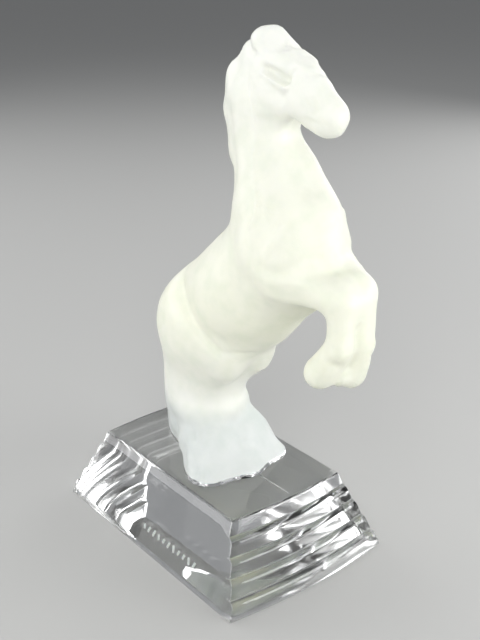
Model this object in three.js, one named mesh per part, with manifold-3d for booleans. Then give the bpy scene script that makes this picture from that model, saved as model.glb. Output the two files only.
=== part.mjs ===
// A rearing horse of frosted crystal on a clear stepped block, pressed in one piece.
// Millimetres, +Z up. The origin is the middle of the underside, and the horse faces +X.
import * as THREE from "three";
import { mergeVertices } from "three/addons/utils/BufferGeometryUtils.js";
import Module from "manifold-3d";

// Driving sizes of the block, in millimetres
const blockHeight = 23.5;
const topLength = 62;
const topWidth = 39;
const footLength = 82.5;
const footWidth = 56.5;
const tierCount = 5;
const ledgeWidth = 1.7;
const ledgeFall = 0.4;
const nosingRadius = 0.9;
const endBow = 2.1;
const cornerRadius = 1.0;
const edgeBevel = 0.9;
const endSegments = 12;
const roundShare = 0.3;

// Driving sizes of the row of engraved strokes on the block's right-hand side, in millimetres
const strokeCount = 11;
const strokeRowStart = -2.5;
const strokeRowEnd = 22;
const strokeHeight = 2.2;
const strokeWidth = 0.7;
const strokeDepth = 0.45;
const strokeRowHeight = 6.4;
const strokeLean = 0.35;
const shortestStroke = 0.7;
const strokeRhythm = 2.3;

// Driving sizes of the horse, in millimetres
const figureHeight = 126.5;
const netSize = 2.4;
const rootSink = 1.2;
const rootClearance = 0.4;
const mergeTolerance = 1e-3;

// The horse's pose and carving are in hundredths of its own height
const hundredth = figureHeight / 100;
const throatHeight = 80;
const headNetShare = 0.62;
const carvingReach = 3;
const relaxRounds = 3;
const relaxShare = 0.5;
const settleRounds = 2;
const slopeStep = 0.05;
const flatSlope = 0.01;

// A rounded limb between two points. Wide is its width across the body as a share of its depth.
function limb(from, to, fromRadius, toRadius, wide = 1, blend = 2) {
  return { from, to, fromRadius, toRadius, wide, blend };
}

// The same limb on the right-hand and the left-hand side
function pair(from, to, fromRadius, toRadius, wide = 1, blend = 2) {
  return [1, -1].map((side) =>
    limb(
      [from[0], from[1] * side, from[2]],
      [to[0], to[1] * side, to[2]],
      fromRadius,
      toRadius,
      wide,
      blend,
    ),
  );
}

// Each form's ends are given as depth, side and height, from the root up
const rootForms = [
  limb([-5.6, 0, 14], [-15, 0, 4], 8.4, 3, 0.55, 4),
  limb([-15, 0, 4], [-15.4, 0, -2], 3, 2.6, 0.7, 3),
  ...pair([-5.2, 1.8, 15], [7.6, 9, -2], 4.2, 4.6, 0.9, 4.5),
  limb([-4.6, 0, 15], [9.8, 0, -2], 4.6, 5.2, 1.2, 4.5),
  ...pair([-13.4, 0.8, -2], [7.6, 8.8, -2], 2.4, 3.6, 1, 4),
  ...pair([-11, 1.2, 5], [3.8, 5.8, 5], 3.8, 4.2, 1, 4),
  ...pair([-9.6, 1.2, 11], [-1.2, 3.1, 11], 4.4, 4.1, 1, 4),
];
const hindForms = [
  limb([-5, 0, 11], [-5, 0, 21], 8, 8.6, 0.6, 4),
  limb([-1, 0, 33], [3, 0, 38], 11.4, 11, 0.86, 5),
  ...pair([-2.4, 4.2, 32], [-5.4, 2.4, 19], 10.6, 8.3, 0.56, 4),
  ...pair([0, 4.6, 33], [8, 4.2, 30], 10, 5.6, 0.62, 3),
  ...pair([7, 4.2, 27.6], [0.6, 3.2, 23], 4.5, 4.9, 0.62, 2.4),
];
const trunkForms = [
  limb([4, 0, 38], [13, 0, 45.5], 10.6, 11.4, 0.86, 5),
  limb([13, 0, 45.5], [24, 0, 57], 11.4, 12, 0.82, 5),
  limb([24, 0, 57], [24.4, 0, 63], 12.2, 10.8, 0.78, 4),
  ...pair([21, 4.4, 65], [29.1, 5, 56], 4.6, 6, 0.72, 3.5),
];
const neckForms = [
  limb([24.2, 0, 63], [20.8, 0, 71], 10.6, 8.9, 0.74, 3.4),
  limb([20.8, 0, 71], [16.6, 0, 78], 8.9, 7.1, 0.7, 2.6),
  limb([16.6, 0, 78], [16, 0, 86], 7.1, 7.1, 0.7, 2.4),
  limb([16.4, 0, 86], [18.6, 0, 91.4], 7.4, 5.6, 0.7, 3),
  limb([21.6, 0, 85.4], [21.4, 0, 81.2], 4.6, 3.6, 0.8, 2),
  ...pair([20.8, 2.2, 84.6], [24.4, 1.8, 83], 3, 1.8, 0.9, 1.4),
];
const maneForms = [
  limb([14, 0, 94.6], [10, 0, 89.6], 2.2, 2.4, 0.9, 2),
  limb([10, 0, 89.6], [9, 0, 83], 2.4, 2.6, 0.95, 2),
  limb([9, 0, 83], [10.6, 0, 74.4], 2.6, 2.6, 0.95, 2),
  limb([10.6, 0, 74.4], [13.4, 0, 67.6], 2.6, 1.9, 0.95, 1.6),
];
const headForms = [
  limb([21.5, 0, 90.4], [28.4, 0, 88.2], 6.2, 5.2, 0.74, 2.5),
  limb([28.5, 0, 87.8], [35.2, 0, 85], 4.8, 3.9, 0.9, 2),
  ...pair([24.2, 2.4, 88.4], [25.4, 2.4, 87.8], 4.6, 4.4, 0.6, 1.2),
  ...pair([24, 3.5, 93.2], [27.2, 3.1, 92], 1.7, 1.4, 0.9, 1.6),
  ...pair([18.4, 1.7, 97.1], [21.6, 2.7, 93.8], 2.3, 2, 0.9, 1.2),
  limb([18.4, 0, 97.3], [22, 0, 94.2], 2.2, 2.2, 1.1, 1.2),
  limb([22, 0, 94.2], [27.6, 0, 91.9], 2.2, 1.9, 1.3, 1),
];
const rightForelegForms = [
  limb([27.2, -7.4, 53.2], [33, -5, 53.8], 2, 3.8, 0.9, 1.2),
  limb([33, -5, 53.8], [42, -2.9, 52.4], 3.6, 3.1, 0.9, 1),
  limb([42.5, -2.7, 51.8], [42.9, -3, 43], 2.9, 2.3, 0.95, 1.2),
  limb([42.7, -3, 42.8], [37.8, -3.3, 36], 2.7, 3.3, 0.95, 1.2),
];
const leftForelegForms = [
  limb([27.2, 7.4, 53.2], [33, 5, 53.8], 2, 3.8, 0.9, 1.2),
  limb([33, 5, 54.3], [41.4, 3.3, 52.8], 3.8, 3.3, 0.9, 1),
  limb([41.6, 3.3, 52], [42.4, 3.3, 41.6], 3.2, 2.5, 0.95, 1.2),
  limb([42.4, 3.3, 41.4], [39.4, 3.4, 34.6], 2.6, 3.3, 0.95, 1.2),
];
const forelegWeb = [
  limb([31, 0, 53], [42, 0, 51.4], 4, 2.8, 1.2, 1.2),
  limb([42, 0, 51.4], [41.2, 0, 42], 2.8, 2.3, 1.2, 2),
  limb([41.2, 0, 42], [39.2, 0, 36.4], 2.3, 2.3, 1.2, 2),
];
const forms = [
  ...rootForms,
  ...hindForms,
  ...trunkForms,
  ...neckForms,
  ...maneForms,
  ...headForms,
  ...rightForelegForms,
  ...leftForelegForms,
  ...forelegWeb,
];

// A soft groove along a line on both sides of the body, or a raised line where its depth is below zero
function groove(points, width, depth) {
  return { points, width, depth };
}
const grooves = [
  groove([[-2.5, 8, 43.6], [3.5, 9.4, 39.8], [9, 9.8, 36.4], [14, 9.6, 33.6]], 2.5, 0.9),
  groove([[14, 9.6, 33.6], [19, 8, 34.6], [24, 5.4, 36.4]], 2.3, 0.8),
  groove([[0.5, 8.2, 43], [5, 9.4, 42.6]], 2.6, 0.6),
  groove([[20, 7.4, 63], [18.6, 7.6, 57.5]], 2.6, 0.6),
  groove([[25.4, 8.8, 52], [23, 9.2, 54.4]], 2, 0.6),
  groove([[30.5, 7.6, 62.6], [26.4, 8.6, 57.6]], 1.8, -0.5),
  groove([[13.4, 3.4, 91.4], [12.6, 4, 84], [13.6, 4.6, 76], [16.4, 5.2, 68.6]], 1.3, 0.5),
  groove([[19.4, 5, 88], [20.6, 5, 84.6], [23.4, 5, 83.2], [27.4, 4.4, 84.6]], 1.2, 0.55),
  groove([[23.8, 4.6, 92.3], [27, 4.5, 91.6]], 1.1, 1),
  groove([[21.6, 5, 91.2], [27.2, 4.6, 89.6]], 0.8, -0.4),
  groove([[27.2, 4.6, 89.6], [29.4, 4, 91.4]], 0.8, -0.35),
  groove([[35.4, 2.9, 86.6], [36.2, 2.4, 85.8]], 0.9, 0.7),
  groove([[32.8, 3, 83.9], [37.8, 2, 83.4]], 0.8, 0.45),
  groove([[-12.4, 3.4, 12], [-14.2, 2.8, 3]], 1.8, 0.5),
];

// Distance from a point to the nearest part of a line of points
function lineGap(points, x, y, z) {
  let nearest = Infinity;
  for (let n = 0; n + 1 < points.length; n++) {
    const [a, b] = [points[n], points[n + 1]];
    const along = b.map((v, axis) => v - a[axis]);
    const offset = [x - a[0], y - a[1], z - a[2]];
    const dot =
      along[0] * offset[0] + along[1] * offset[1] + along[2] * offset[2];
    const share = dot / (along[0] ** 2 + along[1] ** 2 + along[2] ** 2);
    const kept = Math.min(1, Math.max(0, share));
    nearest = Math.min(
      nearest,
      Math.hypot(
        offset[0] - along[0] * kept,
        offset[1] - along[1] * kept,
        offset[2] - along[2] * kept,
      ),
    );
  }
  return nearest;
}

// Signed distance to a rounded limb, flattened across the body
function limbDistance(form, x, y, z) {
  const [ax, ay, az] = form.from;
  const [bx, by, bz] = form.to;
  const along = [bx - ax, (by - ay) / form.wide, bz - az];
  const offset = [x - ax, (y - ay) / form.wide, z - az];
  const lengthSquared = along[0] ** 2 + along[1] ** 2 + along[2] ** 2;
  const dot =
    offset[0] * along[0] + offset[1] * along[1] + offset[2] * along[2];
  const share = Math.min(1, Math.max(0, dot / lengthSquared));
  const gap = Math.hypot(
    offset[0] - along[0] * share,
    offset[1] - along[1] * share,
    offset[2] - along[2] * share,
  );
  const radius = form.fromRadius + (form.toRadius - form.fromRadius) * share;
  return (gap - radius) * Math.min(1, form.wide);
}

// The smaller of two distances, rounded where they are closer than blend
function smoothUnion(a, b, blend) {
  const overlap = Math.max(blend - Math.abs(a - b), 0) / blend;
  return Math.min(a, b) - (overlap * overlap * blend) / 4;
}

// Distance to the horse's surface, below zero inside it
function horseDistance(x, y, z) {
  let distance = Infinity;
  for (const form of forms) {
    const next = limbDistance(form, x, y, z);
    distance =
      distance === Infinity ? next : smoothUnion(distance, next, form.blend);
  }
  if (Math.abs(distance) > carvingReach) return distance;
  for (const { points, width, depth } of grooves) {
    const away = lineGap(points, x, Math.abs(y), z) / width;
    distance += depth * Math.exp(-away * away);
  }
  return distance;
}

// Evenly spaced places from low to high, about a cell apart
function spaced(low, high, cell) {
  const count = Math.ceil((high - low) / cell);
  return Array.from({ length: count }, (_, n) => low + ((high - low) * n) / count);
}

// Closed surface of the zero level of a distance, on a grid of planes, as vertices and quads
function surfaceNet(distance, planes) {
  const [nx, ny, nz] = planes.map((list) => list.length);
  const place = (i, axis) => {
    const whole = Math.floor(i);
    const [a, b] = [planes[axis][whole], planes[axis][whole + 1] ?? 0];
    return a + (b - a) * (i - whole);
  };
  const nodeIndex = (i, j, k) => (k * ny + j) * nx + i;
  const values = new Float32Array(nx * ny * nz);
  for (let k = 0; k < nz; k++)
    for (let j = 0; j < ny; j++)
      for (let i = 0; i < nx; i++)
        values[nodeIndex(i, j, k)] = distance(
          place(i, 0),
          place(j, 1),
          place(k, 2),
        );
  const cellVertex = new Map();
  const vertices = [];
  const corners = [0, 1, 2, 3, 4, 5, 6, 7].map((n) => [
    n & 1,
    (n >> 1) & 1,
    (n >> 2) & 1,
  ]);
  const edges = [];
  for (let a = 0; a < 8; a++)
    for (const bit of [1, 2, 4]) if (!(a & bit)) edges.push([a, a | bit]);
  for (let k = 0; k < nz - 1; k++)
    for (let j = 0; j < ny - 1; j++)
      for (let i = 0; i < nx - 1; i++) {
        const v = corners.map(([a, b, c]) =>
          values[nodeIndex(i + a, j + b, k + c)],
        );
        const sum = [0, 0, 0];
        let crossings = 0;
        for (const [a, b] of edges) {
          if (v[a] < 0 === v[b] < 0) continue;
          const share = v[a] / (v[a] - v[b]);
          for (let axis = 0; axis < 3; axis++)
            sum[axis] +=
              corners[a][axis] + (corners[b][axis] - corners[a][axis]) * share;
          crossings++;
        }
        if (!crossings) continue;
        cellVertex.set(nodeIndex(i, j, k), vertices.length);
        vertices.push([
          place(i + sum[0] / crossings, 0),
          place(j + sum[1] / crossings, 1),
          place(k + sum[2] / crossings, 2),
        ]);
      }
  const quads = [];
  for (let k = 1; k < nz - 1; k++)
    for (let j = 1; j < ny - 1; j++)
      for (let i = 1; i < nx - 1; i++) {
        const here = values[nodeIndex(i, j, k)] < 0;
        const steps = [
          [1, 0, 0],
          [0, 1, 0],
          [0, 0, 1],
        ];
        steps.forEach((step, axis) => {
          const there =
            values[nodeIndex(i + step[0], j + step[1], k + step[2])] < 0;
          if (here === there) return;
          const u = steps[(axis + 1) % 3];
          const w = steps[(axis + 2) % 3];
          const cellAt = (a, b) =>
            cellVertex.get(
              nodeIndex(
                i - a * u[0] - b * w[0],
                j - a * u[1] - b * w[1],
                k - a * u[2] - b * w[2],
              ),
            );
          const quad = [cellAt(1, 1), cellAt(0, 1), cellAt(0, 0), cellAt(1, 0)];
          quads.push(here ? quad : quad.reverse());
        });
      }
  return { vertices, quads };
}

// Moves each vertex onto the zero level, along the distance's slope
function settle(distance, vertices, rounds) {
  for (const v of vertices)
    for (let round = 0; round < rounds; round++) {
      const here = distance(...v);
      const slope = [0, 1, 2].map((axis) => {
        const ahead = [...v];
        ahead[axis] += slopeStep;
        const behind = [...v];
        behind[axis] -= slopeStep;
        return (distance(...ahead) - distance(...behind)) / (2 * slopeStep);
      });
      const steepness = slope[0] ** 2 + slope[1] ** 2 + slope[2] ** 2;
      if (steepness < flatSlope) break;
      for (let axis = 0; axis < 3; axis++)
        v[axis] -= (here * slope[axis]) / steepness;
    }
}

// Evens out the net: each vertex moves part of the way to the middle of its neighbours
function relax(vertices, quads, share) {
  const sums = vertices.map(() => [0, 0, 0, 0]);
  for (const quad of quads)
    for (let n = 0; n < 4; n++) {
      const next = vertices[quad[(n + 1) % 4]];
      const back = vertices[quad[(n + 3) % 4]];
      const sum = sums[quad[n]];
      for (let axis = 0; axis < 3; axis++) sum[axis] += next[axis] + back[axis];
      sum[3] += 2;
    }
  vertices.forEach((v, n) => {
    for (let axis = 0; axis < 3; axis++)
      v[axis] += (sums[n][axis] / sums[n][3] - v[axis]) * share;
  });
}

function gap(a, b) {
  return Math.hypot(a[0] - b[0], a[1] - b[1], a[2] - b[2]);
}

// Lowest and highest corners of a box that holds every form with two cells to spare
function figureBounds() {
  const spare = (2 * netSize) / hundredth;
  const low = [Infinity, Infinity, Infinity];
  const high = [-Infinity, -Infinity, -Infinity];
  for (const { from, to, fromRadius, toRadius } of forms)
    for (const [end, radius] of [
      [from, fromRadius],
      [to, toRadius],
    ])
      end.forEach((v, axis) => {
        low[axis] = Math.min(low[axis], v - radius - spare);
        high[axis] = Math.max(high[axis], v + radius + spare);
      });
  return [low, high];
}

// The horse, standing on the block's top, as a closed geometry in millimetres
function horseGeometry() {
  const cell = netSize / hundredth;
  const [low, high] = figureBounds();
  const planes = [
    spaced(low[0], high[0], cell),
    spaced(low[1], high[1], cell),
    [
      ...spaced(low[2], 0, cell),
      ...spaced(0, throatHeight, cell),
      ...spaced(throatHeight, high[2], cell * headNetShare),
    ],
  ];
  const net = surfaceNet(horseDistance, planes);
  for (let round = 0; round < relaxRounds; round++) {
    relax(net.vertices, net.quads, relaxShare);
    settle(horseDistance, net.vertices, settleRounds);
  }
  const clearance = rootClearance / hundredth;
  for (const v of net.vertices)
    if (Math.abs(v[2]) < clearance) v[2] = v[2] < 0 ? -clearance : clearance;
  const positions = net.vertices.flatMap(([x, y, z]) => [
    x * hundredth,
    y * hundredth,
    blockHeight + z * hundredth,
  ]);
  const triangles = net.quads.flatMap(([a, b, c, d]) => {
    const v = net.vertices;
    return gap(v[a], v[c]) < gap(v[b], v[d])
      ? [a, b, c, a, c, d]
      : [a, b, d, b, c, d];
  });
  const geometry = new THREE.BufferGeometry();
  geometry.setAttribute(
    "position",
    new THREE.Float32BufferAttribute(positions, 3),
  );
  geometry.setIndex(triangles);
  return geometry;
}

// Half length of the block at its corners, from the underside up: risers with round nosings
function blockProfile() {
  const tierHeight = blockHeight / tierCount;
  const setBacks = (tierCount - 1) * ledgeWidth;
  const riserLean = ((footLength - topLength) / 2 - setBacks) / tierCount;
  const profile = [];
  let reach = footLength / 2;
  for (let tier = 0; tier < tierCount; tier++) {
    const bottom = tier * tierHeight + (tier === 0 ? 0 : ledgeFall);
    const top = (tier + 1) * tierHeight;
    const nosing = tier === tierCount - 1 ? edgeBevel : nosingRadius;
    profile.push([bottom, reach]);
    profile.push([(bottom + top) / 2, reach - riserLean / 4]);
    profile.push([top - nosing, reach - riserLean / 2]);
    profile.push([
      top - nosing * roundShare,
      reach - riserLean - nosing * roundShare,
    ]);
    profile.push([top, reach - riserLean - nosing]);
    reach -= riserLean + ledgeWidth;
  }
  return profile;
}

// Half width of the block at a height: its long sides are plain and slope
function blockHalfWidth(height) {
  const share = height / blockHeight;
  return (footWidth + (topWidth - footWidth) * share) / 2;
}

// One outline of the block at a height, with bowed ends and round corners
function blockRing(height, reach, inset) {
  const half = blockHalfWidth(height) - inset;
  const end = [];
  for (let n = 0; n <= endSegments; n++) {
    const share = (2 * n) / endSegments - 1;
    const y = share * (half - cornerRadius);
    end.push([reach + endBow * (1 - share * share), y]);
  }
  const corner = [
    reach - cornerRadius * roundShare,
    half - cornerRadius * roundShare,
  ];
  const round = [reach - cornerRadius, half];
  const front = [
    [round[0], -round[1]],
    [corner[0], -corner[1]],
    ...end,
    corner,
    round,
  ];
  const back = front.map(([x, y]) => [-x, -y]);
  return [...front, ...back].map(([x, y]) => new THREE.Vector3(x, y, height));
}

function blockGeometry() {
  const profile = blockProfile();
  const last = profile.length - 1;
  const insets = { [last]: edgeBevel, [last - 1]: edgeBevel * roundShare };
  const rings = profile.map(([height, reach], n) =>
    blockRing(height, reach, insets[n] ?? 0),
  );
  const count = rings[0].length;
  const points = [
    ...rings.flat(),
    new THREE.Vector3(0, 0, 0),
    new THREE.Vector3(0, 0, blockHeight),
  ];
  const underside = points.length - 2;
  const top = points.length - 1;
  const triangles = [];
  for (let n = 0; n < count; n++) {
    const next = (n + 1) % count;
    triangles.push(underside, next, n);
    triangles.push(top, last * count + n, last * count + next);
    for (let level = 0; level < last; level++) {
      const a = level * count + n;
      const b = level * count + next;
      triangles.push(a, b, b + count, a, b + count, a + count);
    }
  }
  const geometry = new THREE.BufferGeometry().setFromPoints(points);
  geometry.setIndex(triangles);
  return geometry;
}

// One engraved stroke, a thin wedge that leans a little, pressed into the sloping side
function strokeGeometry(index) {
  const share = index / (strokeCount - 1);
  const x = strokeRowStart + (strokeRowEnd - strokeRowStart) * share;
  const wave = Math.sin(index * strokeRhythm) ** 2;
  const tall = strokeHeight * (shortestStroke + (1 - shortestStroke) * wave);
  const slope = Math.atan2((footWidth - topWidth) / 2, blockHeight);
  const geometry = new THREE.BoxGeometry(strokeWidth, strokeDepth * 2, tall);
  geometry.rotateY(strokeLean * (index % 3 === 0 ? -1 : 1));
  geometry.rotateX(-slope);
  geometry.translate(x, -blockHalfWidth(strokeRowHeight), strokeRowHeight);
  return geometry;
}

const wasm = await Module();
wasm.setup();

function toSolid(geometry) {
  const plain = geometry.clone();
  plain.deleteAttribute("normal");
  plain.deleteAttribute("uv");
  const merged = mergeVertices(plain, mergeTolerance);
  return new wasm.Manifold(
    new wasm.Mesh({
      numProp: 3,
      vertProperties: merged.attributes.position.array,
      triVerts: new Uint32Array(merged.index.array),
    }),
  );
}

function toGeometry(solid) {
  const mesh = solid.getMesh();
  const geometry = new THREE.BufferGeometry();
  geometry.setAttribute(
    "position",
    new THREE.BufferAttribute(mesh.vertProperties, 3),
  );
  geometry.setIndex(new THREE.BufferAttribute(mesh.triVerts, 1));
  geometry.computeVertexNormals();
  return geometry;
}

// A box that holds everything above a little below the block's top
function aboveBlock() {
  const side = 3 * (figureHeight + footLength);
  const box = new THREE.BoxGeometry(side, side, side);
  box.translate(0, 0, blockHeight - rootSink + side / 2);
  return toSolid(box);
}

const horse = toSolid(horseGeometry()).intersect(aboveBlock());
let crystal = toSolid(blockGeometry()).add(horse);
for (let index = 0; index < strokeCount; index++)
  crystal = crystal.subtract(toSolid(strokeGeometry(index)));

const crystalHorse = new THREE.Mesh(
  toGeometry(crystal),
  new THREE.MeshStandardMaterial({
    color: 0xeef0e8,
    roughness: 0.5,
    metalness: 0,
  }),
);
crystalHorse.name = "crystal_horse";

const paperweight = new THREE.Group();
paperweight.add(crystalHorse);

export default paperweight;
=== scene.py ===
# %% [markdown]
# A rearing horse of pressed crystal on a stepped block.
# The real piece is one solid lump of crystal with two finishes: the horse is frosted to a satin
# white, and the block below it is polished and clear. So the lesson builds one closed mesh with two
# materials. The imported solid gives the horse's body, and the carving and the crisp block are modelled
# here.

# %% Load the solid
import math

import bmesh
import bpy
import numpy as np
from mathutils import Matrix, Vector


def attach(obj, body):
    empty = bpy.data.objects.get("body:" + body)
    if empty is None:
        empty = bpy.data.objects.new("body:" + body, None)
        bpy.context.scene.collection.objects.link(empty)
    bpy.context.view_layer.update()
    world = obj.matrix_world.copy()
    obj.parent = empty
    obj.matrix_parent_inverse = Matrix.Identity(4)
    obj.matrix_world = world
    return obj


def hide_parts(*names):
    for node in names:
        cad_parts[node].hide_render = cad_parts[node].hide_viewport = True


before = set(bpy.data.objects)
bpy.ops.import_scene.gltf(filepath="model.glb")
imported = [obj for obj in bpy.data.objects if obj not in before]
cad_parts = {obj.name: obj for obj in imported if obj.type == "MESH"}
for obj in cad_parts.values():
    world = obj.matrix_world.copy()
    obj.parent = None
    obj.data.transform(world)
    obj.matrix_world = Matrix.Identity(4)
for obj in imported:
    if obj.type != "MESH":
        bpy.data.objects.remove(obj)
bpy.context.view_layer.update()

# %% [markdown]
# Every length below is written in millimetres, as a maker would measure it. Blender works in metres,
# so mm() turns one into the other. The horse's own places are in hundredths of its height.

# %% Sizes
MM = 0.001
BLOCK_HEIGHT = 23.5
TOP_LENGTH = 62.0
TOP_WIDTH = 39.0
FOOT_LENGTH = 82.5
FOOT_WIDTH = 56.5
TIER_COUNT = 5
LEDGE_WIDTH = 1.7
LEDGE_FALL = 0.4
END_BOW = 2.1
FIGURE_HEIGHT = 126.5
HUNDREDTH = FIGURE_HEIGHT / 100


def mm(*lengths):
    """Millimetres to metres, as a vector where there are three of them."""
    metres = [length * MM for length in lengths]
    return Vector(metres) if len(metres) == 3 else metres[0]


def on_horse(depth, side, height):
    """A place on the figure: hundredths of its height forward, to its left and above the block."""
    return mm(depth * HUNDREDTH, side * HUNDREDTH, BLOCK_HEIGHT + height * HUNDREDTH)


print("block", FOOT_LENGTH, "by", FOOT_WIDTH, "mm, horse", FIGURE_HEIGHT, "mm high")


# %% [markdown]
# The camera stands where the photographer stood: a little above the horse and close to it, which gives
# the strong perspective of the block.

# %% Camera
CAMERA_PLACE = mm(210.04, -158.0, 178.64)
CAMERA_HEADING = 2.470427
CAMERA_FALL = 0.404361
CAMERA_ROLL = -0.008304
CAMERA_LENS = 56.45
CAMERA_SENSOR = 36.0
CAMERA_NEAREST = 10.0

look = Vector((
    math.cos(CAMERA_HEADING) * math.cos(CAMERA_FALL),
    math.sin(CAMERA_HEADING) * math.cos(CAMERA_FALL),
    -math.sin(CAMERA_FALL),
))
level_right = look.cross(Vector((0, 0, 1))).normalized()
level_up = level_right.cross(look)
right = math.cos(CAMERA_ROLL) * level_right + math.sin(CAMERA_ROLL) * level_up
up = -math.sin(CAMERA_ROLL) * level_right + math.cos(CAMERA_ROLL) * level_up
turn = Matrix((right, up, -look)).transposed().to_4x4()

bpy.ops.object.camera_add()
camera = bpy.context.object
camera.name = "photo_camera"
camera.matrix_world = Matrix.Translation(CAMERA_PLACE) @ turn
camera.data.lens = CAMERA_LENS
camera.data.sensor_width = CAMERA_SENSOR
camera.data.clip_start = mm(CAMERA_NEAREST)
bpy.context.scene.camera = camera
print("camera looks along", tuple(round(part, 3) for part in look))

# %% [markdown]
# A few helpers come first. An operator acts on all that is selected, so each of them starts with
# nothing selected but the piece it works on.

# %% Helpers for selecting and for modifiers


def pick(piece):
    """Makes one piece the only selected and active one."""
    if bpy.context.mode != "OBJECT":
        bpy.ops.object.mode_set(mode="OBJECT")
    bpy.ops.object.select_all(action="DESELECT")
    piece.select_set(True)
    bpy.context.view_layer.objects.active = piece


def edit(piece):
    """Opens a piece in edit mode with nothing selected."""
    pick(piece)
    bpy.ops.object.mode_set(mode="EDIT")
    bpy.ops.mesh.select_all(action="DESELECT")


def close(piece):
    """Leaves edit mode and says how many faces the piece has."""
    bpy.ops.object.mode_set(mode="OBJECT")
    print(piece.name, "has", len(piece.data.polygons), "faces")


def select_where(piece, kind, wanted):
    """In edit mode, selects the edges or faces for which wanted(part) is true."""
    mesh = bmesh.from_edit_mesh(piece.data)
    bpy.ops.mesh.select_mode(type=kind)
    for part in mesh.faces if kind == "FACE" else mesh.edges:
        part.select_set(wanted(part))
    bmesh.update_edit_mesh(piece.data)


def finish_with(piece, kind, **settings):
    """Adds a modifier, sets it and applies it."""
    pick(piece)
    modifier = piece.modifiers.new(kind.lower(), kind)
    for name, value in settings.items():
        setattr(modifier, name, value)
    bpy.ops.object.modifier_apply(modifier=modifier.name)


# %% [markdown]
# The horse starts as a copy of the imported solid. The copy's loose triangles are merged, the block is
# cut away, and the cut is pulled down a little so that it can later be joined to a crisper block.

# %% Copy the horse off the solid
MERGE_WITHIN = 0.002
JOINT_DEPTH = 1.6
CUT_ABOVE_BLOCK = 0.45

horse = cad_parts["crystal_horse"].copy()
horse.data = horse.data.copy()
horse.name = "horse_body"
for key in list(horse.keys()):
    del horse[key]
bpy.context.scene.collection.objects.link(horse)
horse.parent = None
edit(horse)
bpy.ops.mesh.select_all(action="SELECT")
bpy.ops.mesh.remove_doubles(threshold=mm(MERGE_WITHIN))
bpy.ops.mesh.select_all(action="SELECT")
bpy.ops.mesh.bisect(
    plane_co=(0, 0, mm(BLOCK_HEIGHT + CUT_ABOVE_BLOCK)),
    plane_no=(0, 0, 1),
    clear_inner=True,
    use_fill=True,
)
bpy.ops.mesh.extrude_region_move(
    TRANSFORM_OT_translate={"value": (0, 0, -mm(CUT_ABOVE_BLOCK + JOINT_DEPTH))}
)
bpy.ops.mesh.quads_convert_to_tris()
close(horse)

# %% [markdown]
# Pressed crystal has no facets. Subdivision rounds the coarse triangles, and because it rounds the
# forms too, their corners are sharpened a little beforehand. A voxel remesh lays an even skin over
# them that is fine enough to carve, and a light smoothing takes out the voxel steps. Smoothing shrinks
# thin forms, so the skin is pushed back out by as much as it lost. The head and the mane carry the
# finest carving, so their faces are split once more.

# %% Even skin
SHARPENING = -0.35
SMOOTHING = 0.5
SMOOTH_VOXELS = 5
SMOOTH_SPLITS = 3
SKIN_SIZE = 0.66
SKIN_GAIN = 0.16
FINE_FROM = 83.0
MANE_FRONT = 13.0
MANE_FROM = 66.0

finish_with(horse, "SMOOTH", factor=SHARPENING, iterations=1)
finish_with(horse, "SUBSURF", levels=1, render_levels=1)
finish_with(horse, "REMESH", mode="VOXEL", voxel_size=mm(SKIN_SIZE))
finish_with(horse, "SMOOTH", factor=SMOOTHING, iterations=SMOOTH_VOXELS)


def is_fine(face):
    """True on the head and on the strip of mane down the back of the neck."""
    place = face.calc_center_median()
    on_head = place.z > on_horse(0, 0, FINE_FROM).z
    on_mane = place.z > on_horse(0, 0, MANE_FROM).z and place.x < on_horse(MANE_FRONT, 0, 0).x
    return on_head or on_mane


edit(horse)
select_where(horse, "FACE", is_fine)
bpy.ops.mesh.subdivide(number_cuts=1)
close(horse)
finish_with(horse, "SMOOTH", factor=SMOOTHING, iterations=SMOOTH_SPLITS)
finish_with(horse, "DISPLACE", strength=mm(SKIN_GAIN), mid_level=0)

# %% [markdown]
# The real horse has its lines from the mould. Here they are carved as with a sculpting brush: the skin
# near a line moves in or out along its own direction, most on the line and less beside it. A brush
# needs a window and a steady hand, and a line in code gives the same stroke each time. One call carves
# both sides of the horse.

# %% The carving brush


def skin_of(piece):
    """Places and directions of all the vertices, as arrays."""
    count = len(piece.data.vertices)
    places = np.empty(count * 3)
    piece.data.vertices.foreach_get("co", places)
    directions = np.empty(count * 3)
    piece.data.vertices.foreach_get("normal", directions)
    return places.reshape(-1, 3), directions.reshape(-1, 3)


def distance_to_line(places, line):
    """How far each place is from a line of points."""
    nearest = np.full(len(places), np.inf)
    for start, end in zip(line[:-1], line[1:]):
        along = np.array(end - start)
        offset = places - np.array(start)
        share = np.clip(offset @ along / (along @ along), 0, 1)
        gap = np.linalg.norm(offset - share[:, None] * along, axis=1)
        nearest = np.minimum(nearest, gap)
    return nearest


def carve(piece, strokes):
    """Each stroke is a line on the horse, its width and its depth, both in hundredths. A depth below
    zero raises the line."""
    places, directions = skin_of(piece)
    mirrored = places * (1, -1, 1)
    moves = np.zeros(len(places))
    for line, width, depth in strokes:
        points = [on_horse(*point) for point in line]
        wide = mm(width * HUNDREDTH)
        sides = (places, mirrored) if any(point[1] for point in line) else (places,)
        for side in sides:
            away = distance_to_line(side, points) / wide
            moves -= mm(depth * HUNDREDTH) * np.exp(-away * away)
    places += directions * moves[:, None]
    piece.data.vertices.foreach_set("co", places.ravel())
    piece.data.update()
    print("carved", len(strokes), "strokes, deepest", round(-moves.min() / MM, 2), "mm")


def fan(line, sides, width, depth):
    """Strokes side by side. The middle number of each point is a share of the stroke's own side."""
    return [
        ([(forward, side * share, height) for forward, share, height in line], width, depth)
        for side in sides
    ]


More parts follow.
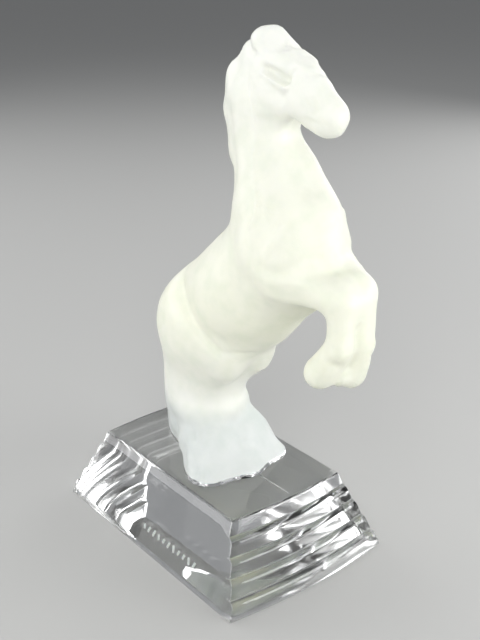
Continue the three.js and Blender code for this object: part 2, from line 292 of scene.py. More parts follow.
# %% [markdown]
# The face: an eye hollow with a sharp ridge in a V below it and in front of it, a soft groove under the
# ridge, a round cheek with a raised rim, a nostril and a mouth. The ears are one smooth lobe laid back
# on the head, and a forelock runs from it down to the nose, where it ends in a small step. The last
# two strokes deepen the throat and take the front of the neck back. Three fine strands then part the
# forelock on each side.

# %% Carve the face
FORELOCK_LINE = [(24.4, 1.0, 95.8), (26.8, 1.0, 94.4), (29.2, 0.8, 92.8)]
FORELOCK_SIDES = (0.7, 1.7, 2.6)
FORELOCK_WIDTH = 0.36
FORELOCK_DEPTH = 0.14

carve(horse, [
    ([(23.0, 4.8, 92.5), (25.6, 4.5, 91.7), (28.0, 4.4, 91.0)], 1.0, 1.3),
    ([(28.4, 4.0, 91.4), (29.0, 3.4, 92.9)], 0.8, 0.8),
    ([(22.2, 5.0, 91.8), (25.2, 4.7, 90.7), (28.6, 4.7, 89.9)], 0.5, -0.5),
    ([(28.6, 4.7, 89.9), (29.4, 3.9, 91.3), (29.4, 3.2, 92.8)], 0.5, -0.3),
    ([(22.0, 5.0, 90.6), (25.0, 5.0, 89.4), (27.6, 4.9, 88.4)], 0.9, 0.4),
    ([(24.4, 5.1, 88.4), (27.0, 5.1, 87.6)], 1.6, 0.4),
    ([(19.5, 5.0, 87.6), (20.8, 4.8, 85.0), (23.6, 4.6, 84.0), (27.2, 4.4, 84.6)], 1.1, -0.32),
    ([(33.8, 3.2, 88.4), (34.5, 3.0, 87.5), (34.8, 3.1, 86.4)], 0.75, 0.24),
    ([(32.2, 3.4, 85.1), (34.8, 3.1, 84.5), (36.8, 2.6, 84.4)], 0.6, 0.2),
    ([(14.6, 1.4, 96.0), (16.8, 3.2, 95.4), (18.8, 3.9, 95.0)], 0.7, 0.5),
    ([(18.8, 3.9, 95.0), (20.8, 4.2, 94.6)], 0.8, 0.25),
    ([(15.6, 1.8, 97.8), (18.6, 3.4, 97.0), (21.6, 3.8, 95.6)], 1.0, -0.3),
    ([(23.2, 0.2, 97.2), (24.2, 1.6, 96.5)], 0.9, 0.4),
    ([(25.8, 2.0, 95.4), (27.2, 2.6, 94.6), (28.6, 2.6, 93.6)], 1.3, -0.6),
    ([(31.6, 0.8, 92.4), (31.4, 2.0, 91.6)], 0.9, 0.35),
    ([(28.6, 2.6, 82.9), (28.0, 0.0, 82.3)], 1.3, 0.9),
    ([(26.4, 0.0, 81.4), (29.0, 0.0, 76.0), (31.6, 0.0, 72.4)], 3.6, 1.4),
])
carve(horse, fan(FORELOCK_LINE, FORELOCK_SIDES, FORELOCK_WIDTH, FORELOCK_DEPTH))

# %% [markdown]
# The mane is a narrow ridge down the back of the neck. Its strands are shallow grooves that run along
# it and sway a little, laid at a few angles round the ridge, and its outer edge is cut into locks.

# %% Carve the mane
MANE_LINE = [
    (14.0, 94.6, 2.3),
    (10.0, 89.6, 2.5),
    (9.0, 83.0, 2.7),
    (10.6, 74.4, 2.7),
    (13.2, 68.0, 2.1),
]
STRAND_ANGLES = (24, 52, 80, 108)
STRAND_STEPS = 24
STRAND_SWAY = 7
STRAND_WAVE = 0.9
STRAND_WIDTH = 0.36
STRAND_DEPTH = 0.24
LOCK_COUNT = 17
LOCK_RUN = 0.02
LOCK_REACH = 34
LOCK_WIDTH = 0.42
LOCK_DEPTH = 0.26


def mane_place(share, angle):
    """A place on the mane: share of the way down it, and the angle round it from its outer edge.
    The line's points are each a depth, a height and the ridge's radius there."""
    reach = share * (len(MANE_LINE) - 1)
    step = min(int(reach), len(MANE_LINE) - 2)
    (x0, z0, r0), (x1, z1, r1) = MANE_LINE[step], MANE_LINE[step + 1]
    part = reach - step
    run = math.hypot(x1 - x0, z1 - z0)
    back, lift = (z1 - z0) / run, -(x1 - x0) / run
    radius = r0 + (r1 - r0) * part
    outward = radius * math.cos(math.radians(angle))
    return (
        x0 + (x1 - x0) * part + back * outward,
        radius * math.sin(math.radians(angle)),
        z0 + (z1 - z0) * part + lift * outward,
    )


strands = []
for angle in STRAND_ANGLES:
    line = [
        mane_place(n / STRAND_STEPS, angle + STRAND_SWAY * math.sin(n * STRAND_WAVE + angle))
        for n in range(STRAND_STEPS + 1)
    ]
    strands.append((line, STRAND_WIDTH, STRAND_DEPTH))
for n in range(LOCK_COUNT):
    share = (n + 0.5) / LOCK_COUNT
    line = [mane_place(share, 0), mane_place(share + LOCK_RUN, LOCK_REACH)]
    strands.append((line, LOCK_WIDTH, LOCK_DEPTH))
carve(horse, strands)

# %% [markdown]
# The neck and the body. The two halves of the mould met along the side, where the crystal kept a thin
# raised seam that hooks over the shoulder. The shoulder blade, the elbow, the edge of the thigh and
# the fold of the flank are soft creases with a raised lip.

# %% Carve the neck and the body
carve(horse, [
    ([(19.1, 5.0, 91.0), (19.5, 5.0, 86.5), (20.2, 5.1, 81.6), (21.1, 6.2, 75.5),
      (23.1, 7.5, 71.3), (25.2, 8.6, 67.9)], 0.45, -0.24),
    ([(17.6, 5.4, 84.6), (18.2, 5.6, 78.0), (20.0, 6.8, 72.0), (22.4, 8.4, 67.0)], 1.4, 0.18),
    ([(25.2, 8.6, 67.9), (25.5, 9.3, 65.8), (24.7, 9.9, 63.9)], 0.6, -0.4),
    ([(27.3, 8.3, 67.7), (28.2, 8.3, 67.0)], 0.6, -0.3),
    ([(25.2, 10.0, 62.8), (25.9, 10.6, 59.1), (26.6, 10.6, 54.8), (25.9, 9.0, 49.2)], 0.42, -0.2),
    ([(22.4, 9.6, 60.0), (23.0, 9.8, 55.0), (24.4, 9.6, 51.4)], 2.2, -0.3),
    ([(28.2, 9.8, 63.0), (27.6, 10.4, 59.4)], 1.5, 0.3),
    ([(31.2, 8.2, 65.2), (30.4, 9.4, 62.2), (29.0, 10.3, 59.0)], 0.6, -0.42),
    ([(28.2, 10.6, 57.0), (31.0, 10.0, 56.4), (33.6, 9.0, 57.2), (35.7, 7.4, 58.8)], 1.2, 0.4),
    ([(30.4, 10.0, 54.4), (34.0, 8.8, 54.9), (38.0, 7.0, 55.6)], 1.6, -0.35),
    ([(29.4, 9.4, 51.6), (33.4, 8.2, 50.6), (37.4, 6.6, 50.0)], 1.5, -0.35),
    ([(-2.3, 7.7, 44.0), (1.0, 9.2, 41.8), (4.7, 10.2, 38.6), (8.4, 9.4, 35.2), (11.2, 8.0, 32.4)],
     1.1, 0.6),
    ([(-4.6, 6.8, 40.6), (-1.2, 8.4, 38.4), (2.0, 9.4, 35.0), (5.6, 9.0, 31.6), (8.4, 8.0, 28.8)],
     2.8, -0.3),
    ([(11.4, 7.8, 31.9), (14.7, 6.0, 32.4), (17.0, 3.6, 32.8)], 0.8, 0.35),
])

# %% [markdown]
# The legs and the root. The raised forelegs are pressed against each other with a slit between them
# and end in small hooves. Where the thigh, the shank and the belly meet, the skin is smoothed before
# anything is carved. The hind legs and the tail run together into a rough root, whose face is flatter
# than the legs above it and whose edge is uneven.

# %% Carve the legs and the root
STIFLE = (7.4, 3.4, 21.6)
STIFLE_REACH = 5.0
SMOOTH_STIFLE = 30
ROOT_EDGE = [
    (-9.4, 6.4, 6.6),
    (-5.6, 8.0, 6.2),
    (-1.8, 9.6, 5.8),
    (1.8, 11.0, 5.2),
    (4.8, 11.7, 4.0),
    (7.6, 12.1, 2.6),
]
NICK_RUN = (0.4, 0.2, -1.6)
NICK_WIDTH = 1.1
NICK_DEPTH = 0.4
TAIL_LINE = [(-10.6, 1.0, 14.0), (-13.4, 0.9, 9.0), (-15.6, 0.8, 3.0)]
TAIL_SIDES = (0.7, 2.1, 3.5)
TAIL_WIDTH = 0.6
TAIL_DEPTH = 0.3


def at_stifle(face):
    """True where the thigh, the shank and the belly meet, a place that is smooth on the horse."""
    place = face.calc_center_median()
    depth, side, height = STIFLE
    near = min((place - on_horse(depth, sign * side, height)).length for sign in (-1, 1))
    return near < mm(STIFLE_REACH * HUNDREDTH)


edit(horse)
select_where(horse, "FACE", at_stifle)
bpy.ops.mesh.vertices_smooth(factor=SMOOTHING, repeat=SMOOTH_STIFLE)
close(horse)
carve(horse, [
    ([(44.5, 0.0, 46.6), (44.4, 0.0, 43.0), (44.0, 0.0, 40.8)], 1.1, 0.8),
    ([(42.2, 4.7, 40.6), (43.4, 4.4, 39.6)], 1.5, 0.45),
    ([(43.2, 0.4, 39.4), (42.4, 0.4, 38.2)], 1.0, 0.4),
    ([(39.0, 5.6, 41.0), (41.2, 5.6, 42.6), (43.4, 5.0, 43.6)], 0.8, 0.22),
    ([(39.6, 0.0, 33.8), (41.0, 0.0, 35.0)], 1.3, -0.8),
    ([(35.6, 0.0, 56.4), (38.4, 0.0, 55.6), (41.0, 0.0, 55.0)], 2.0, -1.0),
    ([(36.4, 5.0, 58.6), (37.2, 3.4, 59.0)], 1.2, 0.5),
    ([(-6.6, 7.9, 8.4), (-2.4, 9.0, 9.6), (1.8, 9.3, 10.8), (6.1, 4.9, 12.0), (7.9, 0.2, 10.6)],
     1.6, 0.3),
    ([(-6.0, 7.7, 11.0), (1.6, 8.4, 13.6), (5.2, 4.9, 14.6), (6.6, 0.2, 13.4)], 1.6, -0.2),
    ([(3.6, 9.7, 9.4), (4.4, 9.9, 8.4)], 0.9, 0.45),
    ([(8.7, -1.4, 8.7), (9.5, -0.3, 7.4), (10.5, 1.0, 5.8)], 0.9, 0.3),
])
nicks = []
for n, start in enumerate(ROOT_EDGE):
    end = tuple(part + run for part, run in zip(start, NICK_RUN))
    nicks.append(([start, end], NICK_WIDTH, NICK_DEPTH if n % 2 else -NICK_DEPTH))
carve(horse, nicks)
carve(horse, fan(TAIL_LINE, TAIL_SIDES, TAIL_WIDTH, TAIL_DEPTH))

# %% [markdown]
# No part of a hand-finished pressing is quite even, so a cloud pattern moves the skin in and out by a
# tenth of a millimetre.

# %% Slight unevenness
UNEVEN_SIZE = 7.0
UNEVEN_DEPTH = 0.2

clouds = bpy.data.textures.new("press_clouds", "CLOUDS")
clouds.noise_scale = mm(UNEVEN_SIZE)
clouds.noise_depth = 1
finish_with(
    horse,
    "DISPLACE",
    texture=clouds,
    texture_coords="LOCAL",
    strength=mm(UNEVEN_DEPTH),
    mid_level=0.5,
)
print("horse spans", tuple(round(side / MM, 1) for side in horse.dimensions), "mm")

# %% [markdown]
# The block is the crisp half, and its two ends bow out a little. A box would have straight ends, so it
# starts as a flat plate instead. The plate is cut into a grid, and the grid is pushed outward to both
# ends, most in the middle of the block's width, so that each end becomes an arc.

# %% Block: the foot plate with bowed ends
PLATE_CUTS = 15

bpy.ops.mesh.primitive_plane_add(size=1)
block = bpy.context.object
block.name = "stepped_block"
block.scale = (mm(FOOT_LENGTH), mm(FOOT_WIDTH), 1)
pick(block)
bpy.ops.object.transform_apply(location=False, rotation=False, scale=True)
edit(block)
bpy.ops.mesh.select_all(action="SELECT")
bpy.ops.mesh.subdivide(number_cuts=PLATE_CUTS)
foot = bmesh.from_edit_mesh(block.data)
for vertex in foot.verts:
    across = vertex.co.y / mm(FOOT_WIDTH / 2)
    vertex.co.x += math.copysign(mm(END_BOW) * (1 - across * across), vertex.co.x)
bmesh.update_edit_mesh(block.data)
print("foot plate:", len(foot.verts), "vertices")

# %% [markdown]
# The plate is extruded upward again and again: each tier goes up as a riser and then steps in as a
# ledge. Separate slabs would leave walls inside the clear block. The long sides only slope, so the plate
# shrinks at two different rates, along the block and across it.

# %% Block: the tiers
tier_height = BLOCK_HEIGHT / TIER_COUNT
riser_lean = ((FOOT_LENGTH - TOP_LENGTH) / 2 - (TIER_COUNT - 1) * LEDGE_WIDTH) / TIER_COUNT


def half_width(height):
    """How far the sloping long side is from the middle at a height."""
    return (FOOT_WIDTH + (TOP_WIDTH - FOOT_WIDTH) * height / BLOCK_HEIGHT) / 2


def raise_plate(old, new):
    """Extrudes the plate from one (height, half length) to the next and shrinks it to fit."""
    (low_level, low_reach), (level, reach) = old, new
    bpy.ops.mesh.extrude_region_move(
        TRANSFORM_OT_translate={"value": (0, 0, mm(level - low_level))}
    )
    shrink = ((reach + END_BOW) / (low_reach + END_BOW), half_width(level) / half_width(low_level), 1)
    bpy.ops.transform.resize(value=shrink, center_override=(0, 0, mm(level)))


bpy.ops.mesh.select_all(action="SELECT")
at = (0, FOOT_LENGTH / 2)
for tier in range(TIER_COUNT):
    top_edge = ((tier + 1) * tier_height, at[1] - riser_lean)
    raise_plate(at, top_edge)
    at = top_edge
    if tier < TIER_COUNT - 1:
        ledge = (at[0] + LEDGE_FALL, at[1] - LEDGE_WIDTH)
        raise_plate(at, ledge)
        at = ledge
bpy.ops.mesh.select_all(action="SELECT")
bpy.ops.mesh.normals_make_consistent(inside=False)
close(block)

# %% [markdown]
# Each tier ends in a wide round nose like half a rod, and meets the next one in a narrow crease. So
# the outer edges of the tiers are rounded first and widely, and the rest of the edges only a little.

# %% Block: round noses and fine edges
NOSE = 1.55
NOSE_SEGMENTS = 6
FINE_EDGE = 0.32
FINE_ANGLE = 32
FINE_SEGMENTS = 2
ROUND = 0.5
TOP_EDGE = 0.75
CLOSE_ENOUGH = 0.01
FLAT_ENOUGH = 0.9


def is_nose(edge):
    """True for the outer upper edge of each tier but the last, on the two bowed ends."""
    first, second = (vertex.co for vertex in edge.verts)
    level = abs(first.z - second.z) < mm(CLOSE_ENOUGH)
    if not level or abs(first.x - second.x) > abs(first.y - second.y):
        return False
    tiers_up = first.z / mm(tier_height)
    return abs(tiers_up - round(tiers_up)) < CLOSE_ENOUGH and 0 < round(tiers_up) < TIER_COUNT


def is_top_edge(edge):
    """True for the edges round the block's flat top."""
    on_top = all(vertex.co.z > mm(BLOCK_HEIGHT - CLOSE_ENOUGH) for vertex in edge.verts)
    return on_top and any(face.normal.z < FLAT_ENOUGH for face in edge.link_faces)


edit(block)
select_where(block, "EDGE", is_nose)
bpy.ops.mesh.bevel(offset=mm(NOSE), segments=NOSE_SEGMENTS, profile=ROUND)
select_where(block, "EDGE", is_top_edge)
bpy.ops.mesh.bevel(offset=mm(TOP_EDGE), segments=FINE_SEGMENTS, profile=ROUND)
close(block)
finish_with(
    block,
    "BEVEL",
    width=mm(FINE_EDGE),
    segments=FINE_SEGMENTS,
    limit_method="ANGLE",
    angle_limit=math.radians(FINE_ANGLE),
    profile=ROUND,
)
print("block:", len(block.data.polygons), "faces")

# %% [markdown]
# Low on its right-hand side the block has a row of eleven shallow leaning strokes. One stroke is
# modelled and copied along the row, and the whole row is cut out of the block at once. A bump could
# draw them too, but in clear crystal only a real hollow catches the light from behind.

# %% Block: the row of strokes
STROKE_COUNT = 11
ROW_START = -2.5
ROW_END = 22.0
ROW_HEIGHT = 6.4
STROKE_SIZE = (0.85, 0.9, 2.2)
STROKE_LEAN = 0.35
LEAN_BACK_EVERY = 3
SHORTEST_STROKE = 0.7
STROKE_RHYTHM = 2.3
STROKE_ROUND = 0.2


def small_box(name, size, edge, place=(0, 0, 0)):
    """A box with rounded edges, placed by its middle. All its lengths are in millimetres."""
    bpy.ops.object.select_all(action="DESELECT")
    bpy.ops.mesh.primitive_cube_add(size=1)
    box = bpy.context.object
    box.name = name
    box.scale = mm(*size)
    box.location = mm(*place)
    pick(box)
    bpy.ops.object.transform_apply(location=True, rotation=False, scale=True)
    finish_with(box, "BEVEL", width=mm(edge), segments=FINE_SEGMENTS)
    return box


side_slope = math.atan2((FOOT_WIDTH - TOP_WIDTH) / 2, BLOCK_HEIGHT)
first = small_box("stroke", STROKE_SIZE, STROKE_ROUND)
strokes = [first]
for index in range(1, STROKE_COUNT):
    stroke = first.copy()
    stroke.data = first.data.copy()
    bpy.context.scene.collection.objects.link(stroke)
    strokes.append(stroke)
for index, stroke in enumerate(strokes):
    share = index / (STROKE_COUNT - 1)
    wave = math.sin(index * STROKE_RHYTHM) ** 2
    stroke.scale.z = SHORTEST_STROKE + (1 - SHORTEST_STROKE) * wave
    along = ROW_START + (ROW_END - ROW_START) * share
    stroke.location = mm(along, -half_width(ROW_HEIGHT), ROW_HEIGHT)
    lean = STROKE_LEAN * (-1 if index % LEAN_BACK_EVERY == 0 else 1)
    stroke.rotation_euler = (-side_slope, lean, 0)
pick(first)
for stroke in strokes:
    stroke.select_set(True)
bpy.ops.object.join()
bpy.ops.object.transform_apply(location=True, rotation=True, scale=True)


def cut_or_join(piece, other, operation):
    """Cuts another piece out of this one, or joins the two, and removes the other."""
    finish_with(piece, "BOOLEAN", operation=operation, solver="MANIFOLD", object=other)
    bpy.data.objects.remove(other)
    print(piece.name, "after", operation.lower(), "has", len(piece.data.polygons), "faces")


cut_or_join(block, first, "DIFFERENCE")

# %% [markdown]
# The mould also left a fine raised bar on the block's top, from the root's foot to the front edge. It
# is a slim box, sunk halfway into the top and joined to it.

# %% Block: the seam on its top
SEAM_SIDE = 1.0
SEAM_START = 16.0
SEAM_SIZE = (14.6, 0.4, 0.36)
SEAM_ROUND = 0.12

seam_place = (SEAM_START + SEAM_SIZE[0] / 2, SEAM_SIDE, BLOCK_HEIGHT)
seam = small_box("top_seam", SEAM_SIZE, SEAM_ROUND, seam_place)
cut_or_join(block, seam, "UNION")

# %% [markdown]
# The horse and the block are one pressing, so they become one closed mesh. Two meshes that only overlap
# would leave a wall inside the crystal, and light bends at every wall.

# %% Join the horse and the block
cut_or_join(block, horse, "UNION")
piece = block
piece.name = "crystal_horse_piece"
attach(piece, "root")
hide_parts("crystal_horse")

# %% [markdown]
# The acid that frosted the horse was kept off the block by a mask, which left a narrow clear band
# round the root's foot. The mesh is cut level at the mask's edge, and then the cut is moved up and
# down a little, because the mask was painted by hand. The hollows of the eleven strokes are matte too.

# %% The edge of the frost
FROST_FROM = 1.0
FROST_SWAY = 0.14
FROST_REACH = 1.1
LONG_WAVE = (0.9, 0.6)
SHORT_WAVE = (-1.7, 2.1)
SHORT_SHARE = 0.6
WAVE_SHARE = 0.6
SMOOTH_ANGLE = 35
ROW_MARGIN = 2.0
ROW_REACH = 3.0
BELOW_SKIN = 0.08


def in_a_stroke(place):
    """True inside the block's side where the row of strokes is cut."""
    x, y, z = place / MM
    in_row = ROW_START - ROW_MARGIN < x < ROW_END + ROW_MARGIN and abs(z - ROW_HEIGHT) < ROW_REACH
    return in_row and 0 < -y < half_width(z) - BELOW_SKIN


frost_height = BLOCK_HEIGHT + FROST_FROM
edit(piece)
bpy.ops.mesh.select_all(action="SELECT")
bpy.ops.mesh.bisect(plane_co=(0, 0, mm(frost_height)), plane_no=(0, 0, 1))
bpy.ops.object.mode_set(mode="OBJECT")
is_frosted = [
    face.center.z > mm(frost_height) or in_a_stroke(face.center) for face in piece.data.polygons
]
for vertex in piece.data.vertices:
    x, y, z = vertex.co / MM
    near = max(0, 1 - abs(z - frost_height) / FROST_REACH)
    wave = math.sin(x * LONG_WAVE[0] + y * LONG_WAVE[1])
    wave += SHORT_SHARE * math.sin(x * SHORT_WAVE[0] + y * SHORT_WAVE[1])
    vertex.co.z += mm(FROST_SWAY * wave * near * WAVE_SHARE)
pick(piece)
bpy.ops.object.shade_smooth_by_angle(angle=math.radians(SMOOTH_ANGLE))
print("frosted faces:", sum(is_frosted), "of", len(is_frosted))

# %% [markdown]
# Both finishes share two effects, so each effect is a node group with its own values in each
# material. Pressed crystal is never optically flat: a slow waviness bends its reflections. And there
# is a grain with patches in it: the acid's bite on the horse, and faint handling marks on the block.

# %% Shared effects
WAVE_DETAIL = 1.0
GRAIN_DETAIL = 4.0
PATCH_DETAIL = 3.0


def new_group(name, inputs, outputs):
    """An empty effect with its inputs and outputs, and the two nodes that stand for them."""
    group = bpy.data.node_groups.new(name, "ShaderNodeTree")
    for socket, kind in inputs:
        group.interface.new_socket(name=socket, in_out="INPUT", socket_type=kind)
    for socket in outputs:
        group.interface.new_socket(name=socket, in_out="OUTPUT", socket_type="NodeSocketFloat")
    return group, group.nodes.new("NodeGroupInput"), group.nodes.new("NodeGroupOutput")


def add_noise(group, entry, scale_socket, detail):
    """A noise inside an effect, whose scale comes from one of the effect's inputs."""
    noise = group.nodes.new("ShaderNodeTexNoise")
    noise.inputs["Detail"].default_value = detail
    group.links.new(entry.outputs["Place"], noise.inputs["Vector"])
    group.links.new(entry.outputs[scale_socket], noise.inputs["Scale"])
    return noise


waviness, entry, leave = new_group(
    "press_waviness",
    [("Place", "NodeSocketVector"), ("Waves per metre", "NodeSocketFloat")],
    ["Height"],
)
slow = add_noise(waviness, entry, "Waves per metre", WAVE_DETAIL)
waviness.links.new(slow.outputs["Fac"], leave.inputs["Height"])

grain, entry, leave = new_group(
    "surface_grain",
    [("Place", "NodeSocketVector"), ("Grains per metre", "NodeSocketFloat"),
     ("Patches per metre", "NodeSocketFloat")],
    ["Height", "Patches"],
)
fine = add_noise(grain, entry, "Grains per metre", GRAIN_DETAIL)
patch = add_noise(grain, entry, "Patches per metre", PATCH_DETAIL)
grain.links.new(fine.outputs["Fac"], leave.inputs["Height"])
grain.links.new(patch.outputs["Fac"], leave.inputs["Patches"])
print("effects:", [group.name for group in bpy.data.node_groups])

# %% [markdown]
# Small helpers serve each material: they place an effect on the piece's own coordinates, turn a height
# into a bump, map a mask to a range of values and give the coordinate along one axis.

# %% Helpers for materials


def new_material(name):
    """A new material with its nodes and links."""
    material = bpy.data.materials.new(name)
    material.use_nodes = True
    return material, material.node_tree.nodes, material.node_tree.links


def place_effect(nodes, links, group, **values):
    """Adds an effect that reads the piece's own coordinates, with its values set on it."""
    effect = nodes.new("ShaderNodeGroup")
    effect.node_tree = group
    effect.label = group.name
    place = nodes.new("ShaderNodeTexCoord")
    links.new(place.outputs["Object"], effect.inputs["Place"])
    for socket, value in values.items():
        effect.inputs[socket.replace("_", " ")].default_value = value
    return effect


def add_bump(nodes, links, height, depth, under=None):
    """Turns a height between 0 and 1 into a bump of a depth in millimetres."""
    bump = nodes.new("ShaderNodeBump")
    bump.inputs["Distance"].default_value = mm(depth)
    links.new(height, bump.inputs["Height"])
    if under:
        links.new(under.outputs["Normal"], bump.inputs["Normal"])
    return bump


def spread(nodes, links, source, span, result):
    """Maps a span of a mask, from low to high, to a result, also from low to high."""
    ranged = nodes.new("ShaderNodeMapRange")
    for socket, value in zip(("From Min", "From Max", "To Min", "To Max"), (*span, *result)):
        ranged.inputs[socket].default_value = value
    links.new(source, ranged.inputs["Value"])
    return ranged.outputs["Result"]


def along_axis(nodes, links, axis):
    """The piece's own coordinate along one axis."""
    place = nodes.new("ShaderNodeTexCoord")
    split = nodes.new("ShaderNodeSeparateXYZ")
    links.new(place.outputs["Object"], split.inputs["Vector"])
    return split.outputs[axis]


# %% [markdown]
# The frosted crystal is a satin white that light sinks into. Its colour is a little green and warm on
# the body, with faint patches from the acid. Low on the root it is a darker neutral grey: painted shade
# that dulls the root's face against the body.

# %% Frosted crystal
FROST_CLARITY = 0.22
FROST_INDEX = 1.5
FROST_GLOW = 0.35
FROST_GLOW_DEPTH = 2.2
FROST_GLOW_COLOUR = (1.0, 1.0, 0.85)
FROST_WAVE_DEPTH = 0.18
FROST_GRAIN_DEPTH = 0.05
FROST_ROUGHNESS = (0.44, 0.58)
ROUGH_PATCHES = (0.35, 0.65)
TINT_PATCHES = (0.42, 0.68)
PATCH_TINT = (0.93, 0.95, 0.94, 1)
# Painted shade: the root's foot is coloured a darker grey so that it shows duller than the body.
FOOT_PAINTED_SHADE = (0.72, 0.75, 0.73, 1)
HEAD_TINT = (0.97, 0.975, 0.91, 1)
# The lowest stop carries the root's painted shade, and the stops above it warm the body.
TINTS_AND_ROOT_SHADE = [
    (0.105, (0.74, 0.77, 0.75, 1)),
    (0.15, (0.95, 0.96, 0.88, 1)),
    (0.4, (0.95, 0.96, 0.81, 1)),
    (0.7, (0.95, 0.96, 0.84, 1)),
]

frosted, nodes, links = new_material("frosted_crystal")
shader = nodes["Principled BSDF"]
shader.inputs["Transmission Weight"].default_value = FROST_CLARITY
shader.inputs["IOR"].default_value = FROST_INDEX
shader.inputs["Subsurface Weight"].default_value = FROST_GLOW
shader.inputs["Subsurface Radius"].default_value = FROST_GLOW_COLOUR
shader.inputs["Subsurface Scale"].default_value = mm(FROST_GLOW_DEPTH)

waves = place_effect(nodes, links, waviness, Waves_per_metre=140)
acid = place_effect(nodes, links, grain, Grains_per_metre=5200, Patches_per_metre=190)
wave_bump = add_bump(nodes, links, waves.outputs["Height"], FROST_WAVE_DEPTH)
acid_bump = add_bump(nodes, links, acid.outputs["Height"], FROST_GRAIN_DEPTH, wave_bump)
links.new(acid_bump.outputs["Normal"], shader.inputs["Normal"])
roughness = spread(nodes, links, acid.outputs["Patches"], ROUGH_PATCHES, FROST_ROUGHNESS)
links.new(roughness, shader.inputs["Roughness"])

height = along_axis(nodes, links, "Z")
foot_to_head = (mm(BLOCK_HEIGHT), mm(BLOCK_HEIGHT + FIGURE_HEIGHT))
tint_and_root_shade = nodes.new("ShaderNodeValToRGB")
# Painted shade: the ramp starts dark grey at the root's foot.
tint_and_root_shade.color_ramp.elements[0].color = FOOT_PAINTED_SHADE
tint_and_root_shade.color_ramp.elements[1].color = HEAD_TINT
for level, colour in TINTS_AND_ROOT_SHADE:
    tint_and_root_shade.color_ramp.elements.new(level).color = colour
links.new(spread(nodes, links, height, foot_to_head, (0, 1)), tint_and_root_shade.inputs["Fac"])
patches = nodes.new("ShaderNodeMix")
patches.data_type = "RGBA"
patches.blend_type = "MULTIPLY"
patches.inputs["B"].default_value = PATCH_TINT
links.new(tint_and_root_shade.outputs["Color"], patches.inputs["A"])
mask = spread(nodes, links, acid.outputs["Patches"], TINT_PATCHES, (0, 1))
links.new(mask, patches.inputs["Factor"])
links.new(patches.outputs["Result"], shader.inputs["Base Color"])
print("frosted crystal has", len(nodes), "nodes")

# %% [markdown]
# The clear crystal is polished glass with a high index, which gives the block its bright edges and
# dark reflections. The tiers at its two ends are left as they came from the mould, so past the ends of
# the flat top the surface is a little softer than on the flat faces.

# %% Clear crystal
CLEAR_COLOUR = (0.985, 0.992, 0.988, 1)
CLEAR_INDEX = 1.54
CLEAR_WAVE_DEPTH = 0.03
MARK_PATCHES = (0.4, 0.7)
MARK_ROUGHNESS = (0, 0.02)
TIER_ROUGHNESS = (0, 0.12)
TIER_BLEND = 1.0

clear, nodes, links = new_material("clear_crystal")
shader = nodes["Principled BSDF"]
shader.inputs["Base Color"].default_value = CLEAR_COLOUR
shader.inputs["Transmission Weight"].default_value = 1
shader.inputs["IOR"].default_value = CLEAR_INDEX

waves = place_effect(nodes, links, waviness, Waves_per_metre=110)
marks = place_effect(nodes, links, grain, Patches_per_metre=160)
wave_bump = add_bump(nodes, links, waves.outputs["Height"], CLEAR_WAVE_DEPTH)
links.new(wave_bump.outputs["Normal"], shader.inputs["Normal"])

outward = nodes.new("ShaderNodeMath")
outward.operation = "ABSOLUTE"
links.new(along_axis(nodes, links, "X"), outward.inputs[0])
tiers_start = (mm(TOP_LENGTH / 2 - TIER_BLEND), mm(TOP_LENGTH / 2 + TIER_BLEND))
total = nodes.new("ShaderNodeMath")
total.operation = "ADD"
satin = spread(nodes, links, outward.outputs[0], tiers_start, TIER_ROUGHNESS)
links.new(satin, total.inputs[0])
handled = spread(nodes, links, marks.outputs["Patches"], MARK_PATCHES, MARK_ROUGHNESS)
links.new(handled, total.inputs[1])
links.new(total.outputs[0], shader.inputs["Roughness"])

piece.data.materials.clear()
piece.data.materials.append(clear)
piece.data.materials.append(frosted)
for face, frost in zip(piece.data.polygons, is_frosted):
    face.material_index = int(frost)
print("materials:", [material.name for material in piece.data.materials])

# %% [markdown]
# The floor is plain and pale, so that the clear block shows by its edges. It lies a hair below the
# block: of two surfaces in one plane, now the one would show and now the other.

# %% Floor
FLOOR_GAP = 0.05
FLOOR_SIZE = 8000
FLOOR_COLOUR = (0.46, 0.46, 0.45, 1)
FLOOR_ROUGHNESS = 0.7

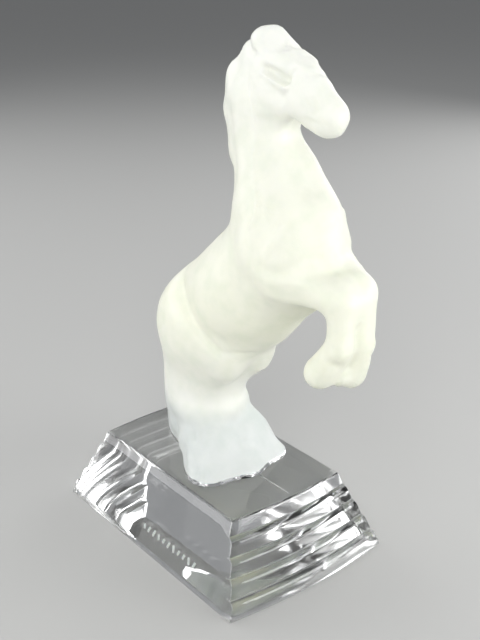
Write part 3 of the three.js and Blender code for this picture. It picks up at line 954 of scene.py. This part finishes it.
bpy.ops.object.select_all(action="DESELECT")
bpy.ops.mesh.primitive_plane_add(size=mm(FLOOR_SIZE), location=(0, 0, -mm(FLOOR_GAP)))
floor = bpy.context.object
floor.name = "floor"
paper, nodes, links = new_material("pale_floor")
nodes["Principled BSDF"].inputs["Base Color"].default_value = FLOOR_COLOUR
nodes["Principled BSDF"].inputs["Roughness"].default_value = FLOOR_ROUGHNESS
floor.data.materials.append(paper)
print("floor lies", FLOOR_GAP, "mm below the block")

# %% [markdown]
# Plain soft studio light: a big softbox beside the camera whitens the front of the horse and a lower one
# fills its side. The others are there for the back of the horse and for the block. Seen through the
# block, the near tiers show what stands low on the left of it, so a long low softbox there makes them
# shine. Its flat side shows what stands high behind it, so no softbox stands there and the flat side
# stays calm. The plain view transform keeps the frosted crystal white.

# %% Light
WORLD_COLOUR = (0.85, 0.87, 0.9, 1)
WORLD_STRENGTH = 0.3

world = bpy.data.worlds.new("studio")
bpy.context.scene.world = world
world.use_nodes = True
world.node_tree.nodes["Background"].inputs["Color"].default_value = WORLD_COLOUR
world.node_tree.nodes["Background"].inputs["Strength"].default_value = WORLD_STRENGTH


def softbox(name, place, size, power, aim=(0, 0, 70)):
    """A rectangular lamp in millimetres and watts, turned to the place it aims at."""
    bpy.ops.object.light_add(type="AREA", location=mm(*place))
    lamp = bpy.context.object
    lamp.name = name
    lamp.data.shape = "RECTANGLE"
    lamp.data.size, lamp.data.size_y = (mm(side) for side in size)
    lamp.data.energy = power
    lamp.rotation_euler = (mm(*aim) - lamp.location).to_track_quat("-Z", "Y").to_euler()
    print(name, "gives", power, "W")


softbox("key_softbox", (400, -330, 430), (300, 300), 1.85)
softbox("side_softbox", (130, -540, 110), (380, 200), 0.85, aim=(0, 0, 50))
softbox("tier_softbox", (340, 215, 110), (300, 170), 1.0, aim=(30, 0, 12))
softbox("low_softbox", (-410, -450, 115), (640, 200), 1.2, aim=(0, 0, 20))
softbox("left_softbox", (-560, -120, 330), (500, 260), 0.8, aim=(0, 0, 15))
softbox("top_softbox", (-100, 60, 560), (480, 480), 1.1, aim=(0, 0, 15))
softbox("far_softbox", (-60, 540, 240), (500, 300), 1.1, aim=(0, 0, 15))
bpy.context.scene.view_settings.view_transform = "Standard"
